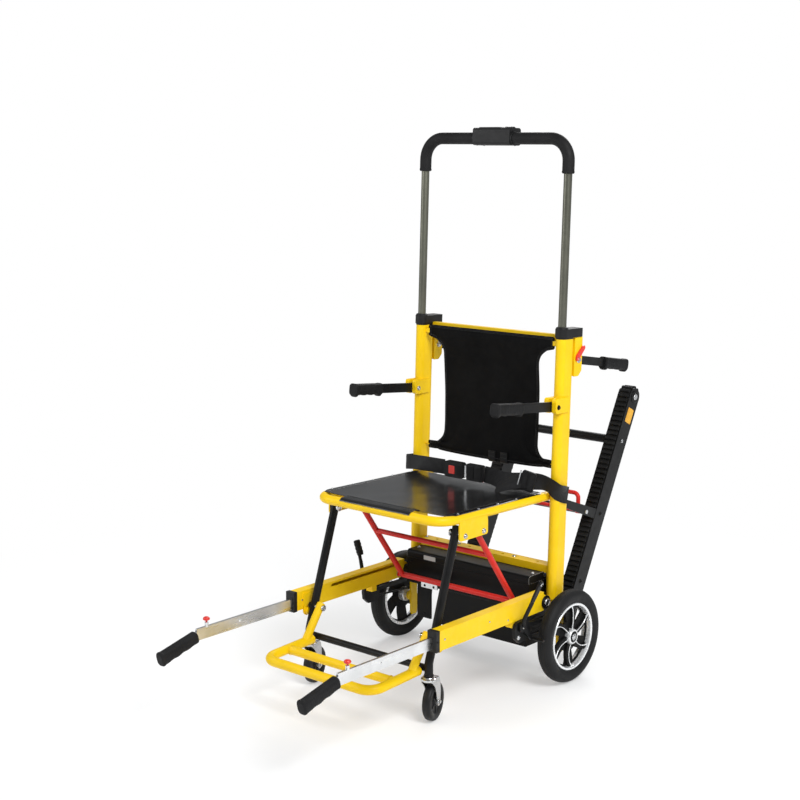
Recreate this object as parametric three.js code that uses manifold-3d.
// Stair chair: a folding evacuation chair with a powered track, as an assembly of separate solids.
// Millimetres, +Z up. +X is the sitter's left, the chair faces -Y, the push handle is at the rear.
// Dimensions count from the floor point under the middle of the rear axle; the finished object
// is moved so that its origin is the bottom centre of its box.
import * as THREE from "three";
import { mergeVertices } from "three/addons/utils/BufferGeometryUtils.js";
import Module from "manifold-3d";

const wasm = await Module();
wasm.setup();
const { Manifold } = wasm;

// ---------------------------------------------------------------- driving dimensions
// Pivots are [y, z]; a name ending in _X, _Y or _Z with two values is a range.
const CENTRE_Y = 245.53; // from the rear axle to the middle of the whole length
const PIN_RADIUS = 5;
const PIN_HOLE_RADIUS = 5.6;
const GAP = 0.3; // between touching pieces
const SLIDE_GAP = 0.5; // around a tube or tang that enters another piece

const MAST_X = 241; // centre plane of each upright
const MAST_TILT = Math.atan(0.0355); // uprights lean back
const MAST_Y0 = -11.57; // where the upright's front tube axis meets the floor plane
const MAST_Z = [220, 926]; // upright, measured along itself
const OVAL_RADIUS = 15; // stadium section
const OVAL_INNER_RADIUS = 12.8;
const OVAL_LENGTH = 26; // centre to centre
const MAST_REAR = OVAL_LENGTH + OVAL_RADIUS + GAP; // where pieces behind the upright start
const ARM_PIVOT = [-30, 745.5]; // front handle, in the upright's own frame
const REAR_PIVOT = [61, 864.7]; // rear handle, in the upright's own frame

const WHEEL_RADIUS = 127;
const WHEEL_X = 295.5;
const AXLE_RADIUS = 6;

const SEAT_PIVOT = [30, 497];
const SEAT_SLOPE = Math.atan(11 / 470);
const RAIL_PIVOT = [-58, 227];
const LEG_TOP = [-377, 470]; // seat to leg pin
// rail to leg pin: a parallelogram with the other three
const LEG_LOW = LEG_TOP.map((value, i) => value - SEAT_PIVOT[i] + RAIL_PIVOT[i]);
const FOOT_PIVOT = [-463, 217];
const BRACE_TOP = [-285, 461];

const TRACK_PIVOT = [147, 127];
const TRACK_TILT = (27.5 * Math.PI) / 180;

const LOOKS = {
  yellow: { color: 0xf2cf14, roughness: 0.38, metalness: 0 },
  blackPaint: { color: 0x17181a, roughness: 0.42, metalness: 0 },
  blackPlastic: { color: 0x1b1c1e, roughness: 0.6, metalness: 0 },
  rubber: { color: 0x202122, roughness: 0.85, metalness: 0 },
  red: { color: 0xd8392b, roughness: 0.4, metalness: 0 },
  aluminium: { color: 0xd2d4d6, roughness: 0.35, metalness: 0.9 },
  tubeGrey: { color: 0x7d7b72, roughness: 0.4, metalness: 0.8 },
  steel: { color: 0xb9bcc0, roughness: 0.3, metalness: 1 },
  fabric: { color: 0x151617, roughness: 0.9, metalness: 0 },
  vinyl: { color: 0x101113, roughness: 0.2, metalness: 0 },
};

// ---------------------------------------------------------------- solids and meshes
function solid(geometry) {
  const bare = geometry.index ? geometry.toNonIndexed() : geometry.clone();
  bare.deleteAttribute("normal");
  bare.deleteAttribute("uv");
  const merged = mergeVertices(bare, 1e-4);
  const triVerts = new Uint32Array(merged.index.array);
  const vertProperties = new Float32Array(merged.attributes.position.array);
  const build = () => new Manifold(new wasm.Mesh({ numProp: 3, vertProperties, triVerts }));
  const made = build();
  if (made.volume() >= 0) return made;
  // inside out: swap two corners of every triangle
  for (let i = 0; i < triVerts.length; i += 3) {
    [triVerts[i + 1], triVerts[i + 2]] = [triVerts[i + 2], triVerts[i + 1]];
  }
  return build();
}

function geometryOf(made) {
  const { numVert, numProp, vertProperties, triVerts } = made.getMesh();
  const position = new Float32Array(numVert * 3);
  for (let i = 0; i < numVert; i++) {
    for (let k = 0; k < 3; k++) position[i * 3 + k] = vertProperties[i * numProp + k];
  }
  const geometry = new THREE.BufferGeometry();
  geometry.setAttribute("position", new THREE.BufferAttribute(position, 3));
  geometry.setIndex(new THREE.BufferAttribute(new Uint32Array(triVerts), 1));
  geometry.computeVertexNormals();
  return geometry;
}

// both take solids or lists of solids
const join = (...parts) => parts.flat().reduce((sum, part) => sum.add(part));
const cut = (body, ...tools) => tools.flat().reduce((rest, tool) => rest.subtract(tool), body);
// a left-hand solid and its mirror image on the right
const bothSides = (left) => [left, left.mirror([1, 0, 0])];
// turn a solid about an X axis through [y, z], angle in radians
const turnAbout = (body, [y, z], angle) =>
  body.translate([0, -y, -z]).rotate([(angle * 180) / Math.PI, 0, 0]).translate([0, y, z]);

// ---------------------------------------------------------------- basic shapes
function box(x0, x1, y0, y1, z0, z1) {
  const geometry = new THREE.BoxGeometry(x1 - x0, y1 - y0, z1 - z0);
  return solid(geometry.translate((x0 + x1) / 2, (y0 + y1) / 2, (z0 + z1) / 2));
}
function rodX(radius, x0, x1, y, z, segments = 12) {
  const geometry = new THREE.CylinderGeometry(radius, radius, x1 - x0, segments);
  return solid(geometry.rotateZ(Math.PI / 2).translate((x0 + x1) / 2, y, z));
}
function rodZ(radius, z0, z1, x, y, segments = 12) {
  const geometry = new THREE.CylinderGeometry(radius, radius, z1 - z0, segments);
  return solid(geometry.rotateX(Math.PI / 2).translate(x, y, (z0 + z1) / 2));
}

const toVectors = (points) => points.map(([x, y]) => new THREE.Vector2(x, y));
const extrude = (points, depth) =>
  new THREE.ExtrudeGeometry(new THREE.Shape(toVectors(points)), {
    depth,
    bevelEnabled: false,
    steps: 1,
  });
const YZ_PLANE = new THREE.Matrix4().makeBasis(
  new THREE.Vector3(0, 1, 0),
  new THREE.Vector3(0, 0, 1),
  new THREE.Vector3(1, 0, 0),
);
// plates: X takes [y, z] points, Y takes [x, z], Z takes [x, y]
const plateX = (points, x0, x1) =>
  solid(extrude(points, x1 - x0).applyMatrix4(YZ_PLANE).translate(x0, 0, 0));
const plateY = (points, y0, y1) =>
  solid(extrude(points, y1 - y0).rotateX(Math.PI / 2).translate(0, y1, 0));
const plateZ = (points, z0, z1) => solid(extrude(points, z1 - z0).translate(0, 0, z0));

// solids of revolution; the profile is [radius, height along the axis]
const turnedX = (profile, segments, x, y, z) =>
  solid(new THREE.LatheGeometry(toVectors(profile), segments)
    .rotateZ(-Math.PI / 2).translate(x, y, z));
const turnedZ = (profile, segments, x, y, z) =>
  solid(new THREE.LatheGeometry(toVectors(profile), segments)
    .rotateX(Math.PI / 2).translate(x, y, z));

// points of an arc about (x, y), angles in degrees
const arc = (x, y, radius, start, end, steps) =>
  Array.from({ length: steps + 1 }, (_, i) => {
    const angle = ((start + ((end - start) * i) / steps) * Math.PI) / 180;
    return [x + radius * Math.cos(angle), y + radius * Math.sin(angle)];
  });
// two half circles, one above the other
const stadium = (x, y0, y1, radius, steps = 8) => [
  ...arc(x, y0, radius, 180, 360, steps),
  ...arc(x, y1, radius, 0, 180, steps),
];
const roundRect = (x0, x1, y0, y1, radius) => [
  ...arc(x1 - radius, y0 + radius, radius, -90, 0, 3),
  ...arc(x1 - radius, y1 - radius, radius, 0, 90, 3),
  ...arc(x0 + radius, y1 - radius, radius, 90, 180, 3),
  ...arc(x0 + radius, y0 + radius, radius, 180, 270, 3),
];

// ---------------------------------------------------------------- bent tubes
// a path through given points, whose spaced points are exactly those points
class Polyline extends THREE.Curve {
  constructor(points) {
    super();
    this.points = points;
  }
  getPoint(t) {
    const last = this.points.length - 1;
    const i = Math.min(Math.floor(t * last + 1e-9), last - 1);
    return this.points[i].clone().lerp(this.points[i + 1], Math.max(0, t * last - i));
  }
  getPointAt(t) {
    return this.getPoint(t);
  }
  getTangentAt(t) {
    const last = this.points.length - 1;
    const i = Math.round(t * last);
    const stepFrom = (k) => this.points[k + 1].clone().sub(this.points[k]).normalize();
    const tangent = new THREE.Vector3();
    if (i > 0) tangent.add(stepFrom(i - 1));
    if (i < last) tangent.add(stepFrom(i));
    return tangent.normalize();
  }
}

// corners [x, y, z, bend radius] become a smooth run of points
function bentPath(corners, steps = 5) {
  const points = corners.map(([x, y, z]) => new THREE.Vector3(x, y, z));
  const path = [points[0]];
  for (let i = 1; i < points.length - 1; i++) {
    const corner = points[i];
    const radius = corners[i][3];
    if (!radius) {
      path.push(corner);
      continue;
    }
    const back = points[i - 1].clone().sub(corner).normalize();
    const ahead = points[i + 1].clone().sub(corner).normalize();
    const half = Math.acos(Math.min(1, Math.max(-1, back.dot(ahead)))) / 2;
    const reach = radius / Math.tan(half);
    const inward = back.clone().add(ahead).normalize();
    const centre = corner.clone().addScaledVector(inward, radius / Math.sin(half));
    const from = corner.clone().addScaledVector(back, reach).sub(centre);
    const to = corner.clone().addScaledVector(ahead, reach).sub(centre);
    const total = Math.PI - 2 * half;
    for (let k = 0; k <= steps; k++) {
      const share = k / steps;
      const spoke = from.clone()
        .multiplyScalar(Math.sin((1 - share) * total) / Math.sin(total))
        .addScaledVector(to, Math.sin(share * total) / Math.sin(total));
      path.push(centre.clone().add(spoke));
    }
  }
  path.push(points[points.length - 1]);
  return path;
}

function sweep(points, radius, segments, innerRadius = 0) {
  const ring = (size) => toVectors(arc(0, 0, size, 0, 360 - 360 / segments, segments - 1));
  const shape = new THREE.Shape(ring(radius));
  if (innerRadius) shape.holes.push(new THREE.Path(ring(innerRadius)));
  const options = {
    steps: points.length - 1,
    extrudePath: new Polyline(points),
    bevelEnabled: false,
  };
  return solid(new THREE.ExtrudeGeometry(shape, options));
}
const tube = (corners, radius, segments = 12, steps = 5) =>
  sweep(bentPath(corners, steps), radius, segments);
// corners of a U across the chair; end and corner are [y, z]
const hoopCorners = (x, end, corner, bend) => [
  [x, ...end],
  [x, ...corner, bend],
  [-x, ...corner, bend],
  [-x, ...end],
];

// ---------------------------------------------------------------- scene graph
const whole = new THREE.Group();
const chair = new THREE.Group();
chair.position.y = CENTRE_Y;
whole.add(chair);

// a tilted group, and the map from a chair point [y, z] into it
function tiltedFrame([originY, originZ], tilt) {
  const group = new THREE.Group();
  group.position.set(0, originY, originZ);
  group.rotation.x = -tilt;
  chair.add(group);
  const cos = Math.cos(tilt);
  const sin = Math.sin(tilt);
  const toLocal = ([pointY, pointZ]) => {
    const y = pointY - originY;
    const z = pointZ - originZ;
    return [y * cos - z * sin, y * sin + z * cos];
  };
  return { group, toLocal };
}
const mast = tiltedFrame([MAST_Y0, 0], MAST_TILT);
const seat = tiltedFrame(SEAT_PIVOT, SEAT_SLOPE);
const track = tiltedFrame(TRACK_PIVOT, TRACK_TILT);

function add(name, shape, look, parent = chair) {
  const material = new THREE.MeshStandardMaterial(LOOKS[look]);
  const mesh = new THREE.Mesh(geometryOf(shape), material);
  mesh.name = name;
  parent.add(mesh);
  return mesh;
}
// the left piece as modelled, and its mirror image on the right
function addPair(name, shape, look, parent = chair) {
  add(name + "_left", shape, look, parent);
  add(name + "_right", shape, look, parent).scale.x = -1;
}

// ---------------------------------------------------------------- uprights, caps, crossbar
// x range centred on the left upright
const aroundMast = (half) => [MAST_X - half, MAST_X + half];

function upright() {
  const oval = (radius, overrun) =>
    plateZ(stadium(MAST_X, 0, OVAL_LENGTH, radius), MAST_Z[0] - overrun, MAST_Z[1] + overrun);
  // yoke for the folding front handle: two cheeks with a slot between them
  const yokeOutline = [[-42, 733], [-38, 729], [20, 729], [20, 769], [-38, 769], [-42, 765]];
  const yoke = plateX(yokeOutline, ...aroundMast(19.5));
  const slot = box(...aroundMast(5.8), -60, -15.6, 700, 800);
  const armPin = rodX(4, ...aroundMast(OVAL_RADIUS), ...ARM_PIVOT);
  const seatPivot = mast.toLocal(SEAT_PIVOT);
  const seatPin = join(rodX(PIN_RADIUS, 199, 230, ...seatPivot), rodX(8, 194.5, 199.5, ...seatPivot));
  // the bore also trims the seat pin, so that the upright stays hollow
  const body = cut(join(oval(OVAL_RADIUS, 0), yoke, seatPin), oval(OVAL_INNER_RADIUS, 1), slot);
  return join(body, armPin);
}

const HANDLE_RADIUS = 11;

function uprightCap() {
  const halfWidth = 18;
  const rear = 72;
  const chamfer = 3;
  const [right, left] = aroundMast(halfWidth);
  const outline = [
    ...arc(MAST_X, 0, halfWidth, 180, 360, 10),
    [left, rear - chamfer],
    [left - chamfer, rear],
    [right + chamfer, rear],
    [right, rear - chamfer],
  ];
  const bore = rodZ(HANDLE_RADIUS + SLIDE_GAP, 900, 980, MAST_X, 0, 16);
  return cut(plateZ(outline, MAST_Z[1] + GAP, 950), bore);
}

function backCrossbar() {
  const outline = [[MAST_REAR, 821], [62, 821], [76, 836], [76, 926], [MAST_REAR, 926]];
  const bracket = join(
    cut(
      plateX(outline, ...aroundMast(15)),
      box(...aroundMast(11), 46, 90, 800, 940),
      rodX(3.5, 250, 260, 50, 870),
    ),
    box(211, 232, MAST_REAR, 47, 898, 925.7), // web to the bar
    rodX(4, ...aroundMast(13), ...REAR_PIVOT),
  );
  return join(box(-222.6, 222.6, 26, 42, 898, 931), bothSides(bracket));
}

// ---------------------------------------------------------------- push handle
const HANDLE_TOP = 1443;
const HANDLE_BEND = 58;
const HANDLE_LOW = 640;
const GRIP_LOW = 1353;
const GRIP_RADIUS = 16;

const handlePath = (low) =>
  bentPath(hoopCorners(MAST_X, [0, low], [0, HANDLE_TOP], HANDLE_BEND), 6);
const handleTube = () => sweep(handlePath(HANDLE_LOW), HANDLE_RADIUS, 14);
const handleGrip = () => sweep(handlePath(GRIP_LOW), GRIP_RADIUS, 14, HANDLE_RADIUS + SLIDE_GAP);

function controlBox() {
  const shell = plateX(roundRect(-20, 31, HANDLE_TOP - 18.4, HANDLE_TOP + 28, 7), -62, 62);
  return cut(
    shell,
    rodX(GRIP_RADIUS + SLIDE_GAP, -80, 80, 0, HANDLE_TOP, 14),
    box(40, 60, -9, 9, HANDLE_TOP + 21, HANDLE_TOP + 40), // switch recess
  );
}

function controlSwitch() {
  // [x, height over the handle's top run]
  const outline = [[41, 25], [59, 25], [59, 31], [50, 28.5], [41, 31]];
  return plateY(outline.map(([x, z]) => [x, HANDLE_TOP + z]), -8, 8);
}

// ---------------------------------------------------------------- lower frame
function lowerFrame() {
  const halfWidth = 225.5; // of the channel between the side plates
  const rear = 35;
  const channel = join(
    box(-halfWidth, halfWidth, 0, rear, 303, 307),
    box(-halfWidth, halfWidth, 0, 4, 286, 305),
    box(-halfWidth, halfWidth, rear - 4, rear, 286, 305),
  );
  const holes = [-177, -58, 58, 177].map((x) => rodZ(5, 290, 320, x, 17));
  const axlePlate = [[-4, 80], [0, 70], [18, 70], [22, 80], [22, 217.5], [-4, 217.5]];
  const side = join(
    box(219.5, halfWidth, 0, rear, 206, 306),
    box(219.5, 262.5, -8, rear, 206, 217.5),
    plateX(axlePlate, 256.6, 262.5),
    rodX(AXLE_RADIUS, 260, 313, 0, WHEEL_RADIUS),
    rodX(14, 260, 268, 0, WHEEL_RADIUS),
  );
  return join(cut(channel, holes), bothSides(side));
}

// ---------------------------------------------------------------- drive box and contents
const BOX_X = 214; // half width of the upper tray
const BOX_LOW_X = [-92, 206]; // lower tank
const BOX_Y = [-72, 62];
const BOX_Z = [93, 268];
const BOX_STEP_Z = 195; // where the tray meets the tank
const BOX_WALL = 4;
const LID_Z = BOX_Z[1] + GAP;

function driveBox() {
  const [front, rear] = BOX_Y;
  const hollow = (x0, x1, floor) =>
    box(
      x0 + BOX_WALL, x1 - BOX_WALL,
      front + BOX_WALL, rear - BOX_WALL,
      floor + BOX_WALL, BOX_Z[1] + 5,
    );
  const tray = box(-BOX_X, BOX_X, front, rear, BOX_STEP_Z, BOX_Z[1]);
  const tank = box(...BOX_LOW_X, front, rear, BOX_Z[0], BOX_STEP_Z + 1);
  const hollows = [hollow(-BOX_X, BOX_X, BOX_STEP_Z), hollow(...BOX_LOW_X, BOX_Z[0])];
  // bracket plate hanging down at the front, on the right side
  const plate = box(-176, -127, front, front + 6, 100, BOX_STEP_Z + 2);
  const inner = BOX_X - 2;
  const side = join(
    box(inner, 219.2, 5, 30, 228, 262),
    rodX(8, inner, 261, ...RAIL_PIVOT, 16),
    rodX(18, 259.2, 263, ...RAIL_PIVOT, 20),
    rodX(13, inner, 230.8, ...RAIL_PIVOT, 16),
  );
  return join(cut(join(tray, tank), hollows), plate, bothSides(side));
}

const driveBoxLid = () =>
  join(box(-BOX_X, BOX_X, BOX_Y[0], -4, LID_Z, 290), box(-BOX_X, BOX_X, -6, BOX_Y[1], LID_Z, 276));
const batteryPack = () => box(-200, -20, -60, 50, 199.4, 262);
const driveMotor = () =>
  join(rodX(40, 60, 190, -8, 140, 20), box(12, 62, -52, 46, 98, 190), rodX(8, -6, 14, 20, 150));

// ---------------------------------------------------------------- backrest
function backrest() {
  const edgeX = 214;
  // left edge, bottom to top: waisted by two concave-cornered arcs
  const half = [
    [edgeX, 570], [edgeX, 590],
    ...arc(edgeX, 640, 50, 250, 180, 4),
    ...arc(edgeX, 855, 50, 180, 110, 4),
    [edgeX, 898], [edgeX, 922],
  ];
  return plateY([...half, ...half.map(([x, z]) => [-x, z]).reverse()], 30, 38);
}

// ---------------------------------------------------------------- lap belt
const BELT_Z = [524, 566];
const BELT_THICKNESS = 3.4;
// webbing runs, [x, y] along the middle of the strip
const BELT_LEFT = [[259, 42], [259, 0], [256, -14], [244, -20], [150, -42], [56, -60]];
const BELT_RIGHT = [
  [-86, -64], [-200, -60], [-248, -50], [-259, -36], [-259, 0], [-259, 42],
];

// flat webbing on edge along [x, y] points
function webbing(run, thickness = BELT_THICKNESS, [low, high] = BELT_Z) {
  const points = toVectors(run);
  const edge = (offset) =>
    points.map(({ x, y }, i) => {
      const before = points[Math.max(0, i - 1)];
      const after = points[Math.min(points.length - 1, i + 1)];
      const along = after.clone().sub(before).normalize();
      return [x - along.y * offset, y + along.x * offset];
    });
  return plateZ([...edge(-thickness / 2), ...edge(thickness / 2).reverse()], low, high);
}

function beltBuckle() {
  const slotZ = [520, 570];
  return cut(
    plateY(roundRect(-85, 54, 522, 568, 6), -74, -54),
    box(-62, -40, -80, -68, 533, 557), // button recess
    webbing([[56.4, -60], [26, -63]], 4.2, slotZ),
    webbing([[-86, -64], [-70, -64]], 4.4, slotZ),
  );
}
const buckleButton = () => box(-61.4, -40.6, -76.5, -71.5, 533.6, 556.4);

// ---------------------------------------------------------------- folding handles
const FRONT_ARM_TURN = -0.0655; // about the pivot, in the upright's frame
const REAR_ARM_TURN = -0.13;
const ARM_HOLE_RADIUS = 4.6;

// rounded grip from y0 to y1, with a lip under it at each of the given y ranges
const mouldedGrip = (z, y0, y1, lipHalf, lips) =>
  join(
    plateY(roundRect(...aroundMast(13), z - 16.5, z + 16.5, 7), y0, y1),
    lips.map((range) => box(...aroundMast(lipHalf), ...range, z - 22, z)),
  );

// flat bar on edge, rising a little forwards
function frontHandleBar() {
  const [y, z] = ARM_PIVOT;
  const bar = join(
    box(...aroundMast(4), y - 168, y, z - 13, z + 13),
    rodX(13, ...aroundMast(5), y, z, 16),
  );
  const hole = rodX(ARM_HOLE_RADIUS, 230, 250, y, z);
  return turnAbout(cut(bar, hole), ARM_PIVOT, FRONT_ARM_TURN);
}

function frontHandleGrip() {
  const [y, z] = ARM_PIVOT;
  const lips = [[y - 252, y - 242], [y - 158, y - 146]];
  const grip = mouldedGrip(z, y - 255, y - 143, 10, lips);
  const slot = box(...aroundMast(4.6), y - 170, y - 100, z - 13.6, z + 13.6);
  return turnAbout(cut(grip, slot), ARM_PIVOT, FRONT_ARM_TURN);
}

// lever and grip in one piece, drooping a little
function rearHandle() {
  const [y, z] = REAR_PIVOT;
  const lips = [[y + 141, y + 152], [y + 240, y + 250]];
  const body = join(
    rodX(12, ...aroundMast(8), y, z, 16),
    box(...aroundMast(7), y, y + 150, z - 12, z + 12),
    mouldedGrip(z, y + 138, y + 252, 9, lips),
  );
  const hole = rodX(ARM_HOLE_RADIUS, 220, 260, y, z);
  return turnAbout(cut(body, hole), REAR_PIVOT, REAR_ARM_TURN);
}

function handleLatch() {
  const outline = [[46, 862], [54, 866], [83, 895], [80, 903], [73, 902], [45, 877], [43, 868]];
  return join(plateX(outline, 256.6, 261.5), rodX(3, 252.6, 257, 50, 870, 10));
}

// ---------------------------------------------------------------- seat
const SEAT_X = 213;
const SEAT_TUBE_RADIUS = 12.5;
const SEAT_FRONT = [-440, 508]; // [y, z] of the hoop's front run

function seatFrame() {
  const corners = hoopCorners(SEAT_X, [15, 0], seat.toLocal(SEAT_FRONT), 48);
  const hoop = tube(corners, SEAT_TUBE_RADIUS, 14, 6);
  // side plate in chair [y, z], below the hoop; it carries the leg and brace pins
  const plate = [
    [-382, 503], [-382, 455], [-378, 451], [-368, 451],
    [-272, 451], [-268, 455], [-268, 490], [-272, 500],
  ];
  const legTop = seat.toLocal(LEG_TOP);
  const braceTop = seat.toLocal(BRACE_TOP);
  const side = join(
    plateX(plate.map(seat.toLocal), 221.4, 225.4),
    rodX(PIN_RADIUS, 190, 223, ...legTop),
    rodX(9, 189, 194.5, ...legTop),
    rodX(PIN_RADIUS, 182, 223, ...braceTop),
    rodX(9, 181, 186.4, ...braceTop),
  );
  const eyes = bothSides(rodX(PIN_HOLE_RADIUS, 190, 240, 0, 0));
  return cut(join(hoop, bothSides(side)), eyes);
}

function seatSheet() {
  const outline = [[-209, -52], [209, -52], [209, -425], [176, -456], [-176, -456], [-209, -425]];
  const underside = SEAT_TUBE_RADIUS + GAP;
  return plateZ(outline, underside, underside + 3);
}

// ---------------------------------------------------------------- lower rails, carry bars
const RAIL_X = [231.5, 258.5];
const RAIL_Y = [-500, -65];
const RAIL_Z = [205, 256];
const RAIL_WALL = 2.5;
const BAR_X = aroundMast(3.5);
const BAR_Y = [-846, -380];
const BAR_Z = [210, 240];
const KNOB_Y = -811;

// x, y or z range made wider at both ends
const widen = ([low, high], by) => [low - by, high + by];

function rail() {
  const [legY, legZ] = LEG_LOW;
  const shell = cut(
    box(...RAIL_X, ...RAIL_Y, ...RAIL_Z),
    box(...widen(RAIL_X, -RAIL_WALL), ...widen(RAIL_Y, 5), ...widen(RAIL_Z, -RAIL_WALL)),
  );
  const legEar = [
    [legY - 13, legZ],
    ...arc(legY, legZ, 13, 200, 340, 5),
    [legY + 13, legZ],
    [legY + 13, 248],
    [legY - 13, 248],
  ];
  // rear eye plates that carry the pivot
  const eye = [
    [-110, RAIL_Z[0]],
    [-110, RAIL_Z[1]],
    [-78, RAIL_Z[1]],
    ...arc(...RAIL_PIVOT, 17, 60, -60, 5),
    [-72, RAIL_Z[0]],
  ];
  const body = join(
    shell,
    plateX(legEar, 228.4, 232.1),
    box(234, 256, -200, -181, 188, 206), // block under the rail
    rodX(PIN_RADIUS, 196.3, 230, ...LEG_LOW),
    rodX(10, 219, 230, ...LEG_LOW, 14),
    [RAIL_X[0], RAIL_X[1] - RAIL_WALL].map((x) => plateX(eye, x, x + RAIL_WALL)),
  );
  const slot = [...arc(-108, 246, 4, -90, 90, 4), ...arc(-364, 246, 4, 90, 270, 4)];
  return cut(body, rodX(8.6, 226, 262, ...RAIL_PIVOT, 16), plateX(slot, 226, 235));
}

const railCollar = () =>
  cut(
    box(230.4, 259.6, -513, RAIL_Y[0] - GAP, 203.6, 257.6),
    box(...widen(BAR_X, 0.7), -560, -490, ...widen(BAR_Z, 0.7)),
  );

// bar's front end inside the grip, [y, z], enlarged by a clearance
const tangOutline = (clearance) => [
  [BAR_Y[0] + 8, 233 + clearance],
  [-905 - clearance, 219 + clearance],
  [-905 - clearance, 203 - clearance],
  [BAR_Y[0] + 8, BAR_Z[0] + 2 - clearance],
];

function carryBar() {
  const body = join(
    box(...BAR_X, ...BAR_Y, ...BAR_Z),
    plateX(tangOutline(0), ...BAR_X),
    rodZ(5, BAR_Z[1] - 2, 250, MAST_X, KNOB_Y), // knob boss
  );
  return cut(body, rodZ(2.9, 242, 255, MAST_X, KNOB_Y, 10), rodX(3, 230, 250, -700, 227, 10));
}

function carryGrip() {
  const outline = [
    [-848, 236], [-856, 238], [-962, 211], [-970, 203], [-955, 174],
    [-945, 173], [-858, 194], [-851, 199], [-846.5, 206],
  ];
  return cut(
    plateX(outline, ...aroundMast(14)),
    plateX(tangOutline(SLIDE_GAP), ...widen(BAR_X, SLIDE_GAP)),
    box(...widen(BAR_X, 0.6), BAR_Y[0] - 0.6, -830, 205, 245),
  );
}

function lockKnob() {
  const profile = [
    [0, 243], [2.3, 243], [2.3, 254], [5, 255], [9, 258], [8, 262], [4, 264], [0, 264],
  ];
  return turnedZ(profile, 14, MAST_X, KNOB_Y, 0);
}

// ---------------------------------------------------------------- front legs and footrest
const LEG_X = 207;
const STEM_Y = -479; // caster stem axis
const FOOT_X = 184;
const FOOT_RADIUS = 12.5;
const FOOT_Y = [-668, -490.5];
const FOOT_REAR_Z = 137;
const FOOT_DROP = 8; // from the rear end to the front

function legFrame() {
  const [topY, topZ] = LEG_TOP;
  const [lowY, lowZ] = LEG_LOW;
  const length = Math.hypot(topY - lowY, topZ - lowZ);
  const alongY = (topY - lowY) / length;
  const alongZ = (topZ - lowZ) / length;
  // straight through both pins, then bent upright to take the caster's stem
  const bendZ = lowZ - ((lowY - STEM_Y) * alongZ) / alongY;
  const corners = [
    [LEG_X, topY + alongY * 11, topZ + alongZ * 11],
    [LEG_X, STEM_Y, bendZ, 30],
    [LEG_X, STEM_Y, 124],
  ];
  const leg = cut(
    tube(corners, 11, 14, 4),
    rodX(PIN_HOLE_RADIUS, 190, 225, ...LEG_TOP),
    rodX(PIN_HOLE_RADIUS, 190, 225, ...LEG_LOW),
    rodZ(6.7, 120, 156, LEG_X, STEM_Y),
  );
  const side = join(
    leg,
    rodX(PIN_RADIUS, 168, 200, ...FOOT_PIVOT),
    rodX(8, 167, 171.6, ...FOOT_PIVOT),
  );
  return join(bothSides(side), rodX(9, -198.5, 198.5, STEM_Y, 143, 14));
}

function footrest() {
  const [front, rear] = FOOT_Y;
  // point [y, z] on the sloping footrest plane
  const at = (y) => [y, FOOT_REAR_Z + ((y - rear) * FOOT_DROP) / (rear - front)];
  const hoop = tube(hoopCorners(FOOT_X, at(rear), at(front), 38), FOOT_RADIUS, 14, 6);
  const bar = rodX(11.5, -FOOT_X, FOOT_X, ...at(-583), 14);
  const armX = 183.5;
  const arm = cut(
    tube([[armX, ...at(-520)], [armX, -456.2, 226.9]], 11, 14),
    rodX(PIN_HOLE_RADIUS, 160, 200, ...FOOT_PIVOT),
  );
  return join(hoop, bar, bothSides(arm));
}

// ---------------------------------------------------------------- casters
// in their own frame: stem on the Z axis, wheel trailing along +Y
const CASTER_RADIUS = 50;
const CASTER_TRAIL = 28;
const CASTER_TURN = (17 * Math.PI) / 180;

function casterFork() {
  const cheek = [
    [-14, 122], [-14, 112], [4, 97], [14, 74], [18, 52],
    ...arc(CASTER_TRAIL, CASTER_RADIUS, 10, 200, 350, 5),
    [38, 100], [32, 118], [18, 122],
  ];
  return join(
    rodZ(20, 112, 122, 0, 0, 18),
    box(-16.4, 16.4, -14, 32, 112, 118),
    rodZ(6, 118, 150, 0, 0),
    bothSides(plateX(cheek, 13.4, 16.4)),
    rodX(4, -19, 19, CASTER_TRAIL, CASTER_RADIUS),
  );
}

function casterWheel() {
  const profile = [
    [4.7, -12], [30, -9], [40, -12], [47, -10], [CASTER_RADIUS, -5],
    [CASTER_RADIUS, 5], [47, 10], [40, 12], [30, 9], [4.7, 12], [4.7, -12],
  ];
  return turnedX(profile, 28, 0, CASTER_TRAIL, CASTER_RADIUS);
}

function addCasters() {
  for (const [side, sign] of [["left", 1], ["right", -1]]) {
    const group = new THREE.Group();
    group.position.set(sign * LEG_X, STEM_Y, 0);
    group.rotation.z = CASTER_TURN;
    chair.add(group);
    add("caster_fork_" + side, casterFork(), "steel", group);
    add("caster_wheel_" + side, casterWheel(), "rubber", group);
  }
}

// ---------------------------------------------------------------- folding brace
function braceFrame() {
  const low = [-114, 228];
  const legX = 196;
  const radius = 8;
  const side = join(
    tube([[legX, ...BRACE_TOP], [legX, ...low]], radius),
    rodX(10.5, legX - 8, legX + 8, ...BRACE_TOP, 14),
    rodX(radius, legX - 4, 210, ...low),
  );
  return join(
    bothSides(cut(side, rodX(PIN_HOLE_RADIUS, 180, 215, ...BRACE_TOP))),
    rodX(7, -legX, legX, -224, 377.9),
    rodX(radius, -legX, legX, ...low),
  );
}

// ---------------------------------------------------------------- rear wheels
const RIM_RADIUS = 91;
const TYRE_BORE = RIM_RADIUS + 0.4;
const TYRE_HALF = 19.5;
const WHEEL_CENTRE = [WHEEL_X, 0, WHEEL_RADIUS];
// opening between two spokes, [radius, degrees]
const WHEEL_WINDOW = [
  [42, 112], [60, 107], [79, 106], [79, 116], [79, 126], [79, 134], [60, 133], [42, 128],
];

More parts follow.
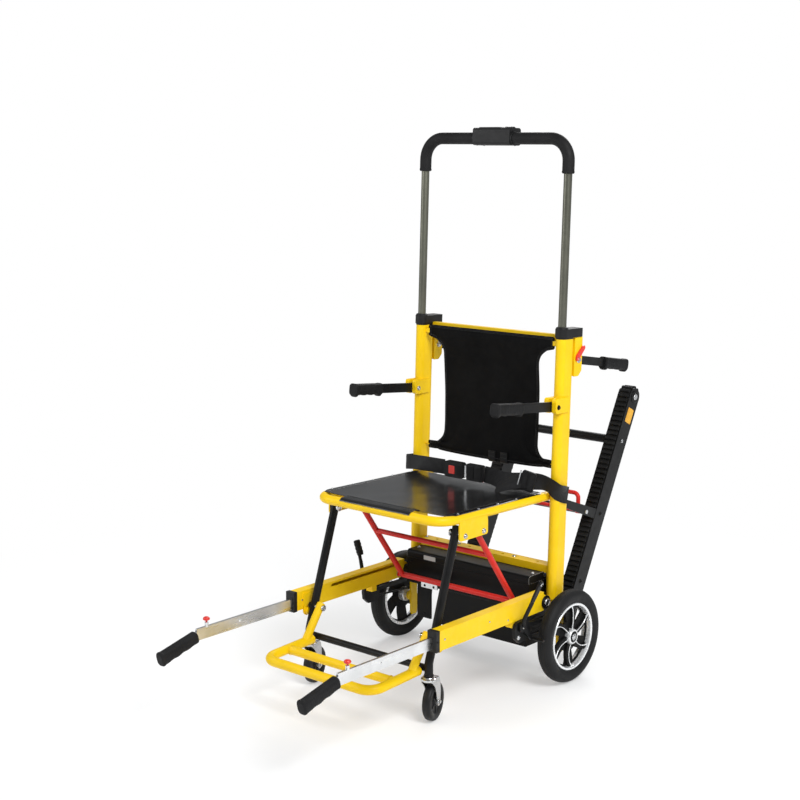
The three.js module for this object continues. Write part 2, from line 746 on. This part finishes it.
function rearTyre() {
  const profile = [
    [TYRE_BORE, -13], [100, -17], [112, -TYRE_HALF], [121, -14], [WHEEL_RADIUS, -5],
    [WHEEL_RADIUS, 5], [121, 14], [112, TYRE_HALF], [100, 17], [TYRE_BORE, 13], [TYRE_BORE, -13],
  ];
  return turnedX(profile, 44, ...WHEEL_CENTRE);
}

function rearWheel() {
  const rim = [[82, -15], [RIM_RADIUS, -13], [RIM_RADIUS, 13], [82, 15], [82, -15]];
  const disc = [[0, -3], [84, -3], [84, 3], [0, 3]];
  const hub = [[0, -20], [20, -20], [20, 18], [14, 19.5], [0, 19.5]];
  const spokes = [];
  const windows = [];
  for (let turn = 0; turn < 360; turn += 60) {
    const spoke = box(WHEEL_X - 7, WHEEL_X + 9, -4, 4, 10, 84);
    spokes.push(spoke.rotate([turn, 0, 0]).translate([0, 0, WHEEL_RADIUS]));
    const outline = WHEEL_WINDOW.map(([radius, degrees]) => {
      const angle = ((degrees + turn) * Math.PI) / 180;
      return [radius * Math.cos(angle), radius * Math.sin(angle)];
    });
    const opening = plateX(outline, WHEEL_X - 8, WHEEL_X + 12);
    windows.push(opening.translate([0, 0, WHEEL_RADIUS]));
  }
  const body = join(
    turnedX(rim, 44, ...WHEEL_CENTRE),
    turnedX(disc, 36, ...WHEEL_CENTRE),
    turnedX(hub, 20, ...WHEEL_CENTRE),
    spokes,
  );
  return cut(body, rodX(AXLE_RADIUS + 0.6, 250, 314, 0, WHEEL_RADIUS), windows);
}

// ---------------------------------------------------------------- brakes
const BRAKE_PIVOT = [-178, 190];
const BRAKE_ROD = [-137, 149.7];

function brakeBody() {
  const outline = [
    [-206, 184], [-200, 200], [-192, 204], [-152, 204], [-142, 194],
    [-140, 158], [-150, 147], [-186, 147], [-203, 162],
  ];
  const arm = box(252, 262, -176, -4.4, 178, 188);
  return cut(join(plateX(outline, 259.2, 268.6), arm), rodX(4.6, 240, 290, ...BRAKE_PIVOT));
}

function brakeLever() {
  const [y, z] = BRAKE_PIVOT;
  const [rodY, rodHeight] = BRAKE_ROD;
  const top = [322, -168, 316];
  const link = [
    [y - 5, z - 4], [y + 5, z + 4], [rodY + 4, rodHeight + 1], [rodY - 4, rodHeight - 4],
  ];
  const stick = [[275.7, y, z + 2], [280, y - 6, z + 20, 10], [312, -168.6, 292], top];
  return join(
    rodX(14, 269, 276, y, z, 16),
    rodX(4, 257, 270, y, z),
    plateX(link, 269, 276),
    rodX(4, 272, 312, ...BRAKE_ROD, 10),
    tube(stick, 6, 10, 4),
    tube([[309, -169, 286], top], 10, 10),
  );
}

// ---------------------------------------------------------------- powered tracks
// in the track's own frame: z runs up the track from the drive shaft
const TRACK_LENGTH = 655; // shaft to shaft
const RELEASE_AT = track.toLocal([215, 412]);
const trackOutline = (radius, steps) => stadium(0, 0, TRACK_LENGTH, radius, steps);

function trackFrame() {
  // strut in chair [y, z]
  const strut = [[62, 485], [54, 474], [62, 463], [262, 382], [300, 384], [292, 402]];
  const side = cut(
    join(
      plateX(trackOutline(25), 159, 163),
      plateX(trackOutline(25), 197, 201),
      plateX(strut.map(track.toLocal), 196.6, 200),
    ),
    [0, TRACK_LENGTH].map((z) => rodX(6.7, 150, 210, 0, z)),
    rodX(5.7, 190, 205, ...RELEASE_AT),
  );
  const ties = [
    rodX(12.5, -200, 200, 0, 520, 14),
    rodX(10, -200, 200, 0, 300, 14),
    rodX(8, -200, 200, 0, 100),
  ];
  return join(bothSides(side), ties);
}

const trackBelt = () =>
  cut(plateX(trackOutline(29.5, 12), 164, 196), plateX(trackOutline(22.5, 12), 160, 200));
// a cross shaft with a roller in each track
const rollerShaft = (z) =>
  join(rodX(6, -204, 204, 0, z), bothSides(rodX(21, 165, 195, 0, z, 18)));
const driveShaft = () => join(rollerShaft(0), rodX(26, -8, 8, 0, 0, 20));
const idlerShaft = () =>
  join(rollerShaft(TRACK_LENGTH), bothSides(rodX(9, 201.4, 205.5, 0, TRACK_LENGTH)));

function trackRelease() {
  const corners = hoopCorners(172, RELEASE_AT, track.toLocal([215, 461]), 14);
  return join(rodX(5, -201, 201, ...RELEASE_AT), tube(corners, 6, 12, 4));
}

// ---------------------------------------------------------------- assembly
addPair("upright", upright(), "yellow", mast.group);
addPair("upright_cap", uprightCap(), "blackPlastic", mast.group);
add("back_crossbar", backCrossbar(), "yellow", mast.group);
add("handle_tube", handleTube(), "tubeGrey", mast.group);
add("handle_grip", handleGrip(), "rubber", mast.group);
add("control_box", controlBox(), "blackPlastic", mast.group);
add("control_switch", controlSwitch(), "blackPlastic", mast.group);
add("lower_frame", lowerFrame(), "yellow");
add("drive_box", driveBox(), "blackPaint");
add("drive_box_lid", driveBoxLid(), "blackPaint");
add("battery_pack", batteryPack(), "blackPlastic");
add("drive_motor", driveMotor(), "steel");
add("backrest", backrest(), "fabric");
add("lap_belt_left", webbing(BELT_LEFT), "fabric");
add("lap_belt_right", webbing(BELT_RIGHT), "fabric");
add("belt_buckle", beltBuckle(), "blackPlastic");
add("buckle_button", buckleButton(), "red");
addPair("front_handle_bar", frontHandleBar(), "blackPaint", mast.group);
addPair("front_handle_grip", frontHandleGrip(), "rubber", mast.group);
addPair("rear_handle", rearHandle(), "rubber", mast.group);
addPair("handle_latch", handleLatch(), "red", mast.group);
add("seat_frame", seatFrame(), "yellow", seat.group);
add("seat_sheet", seatSheet(), "vinyl", seat.group);
addPair("rail", rail(), "yellow");
addPair("rail_collar", railCollar(), "blackPlastic");
addPair("carry_bar", carryBar(), "aluminium");
addPair("carry_grip", carryGrip(), "rubber");
addPair("lock_knob", lockKnob(), "red");
add("leg_frame", legFrame(), "blackPaint");
add("footrest", footrest(), "yellow");
addCasters();
add("brace_frame", braceFrame(), "red");
addPair("rear_tyre", rearTyre(), "rubber");
addPair("rear_wheel", rearWheel(), "aluminium");
addPair("brake_body", brakeBody(), "blackPaint");
addPair("brake_lever", brakeLever(), "blackPaint");
add("track_frame", trackFrame(), "blackPaint", track.group);
addPair("track_belt", trackBelt(), "rubber", track.group);
add("drive_shaft", driveShaft(), "steel", track.group);
add("idler_shaft", idlerShaft(), "steel", track.group);
add("track_release", trackRelease(), "red", track.group);

export default whole;
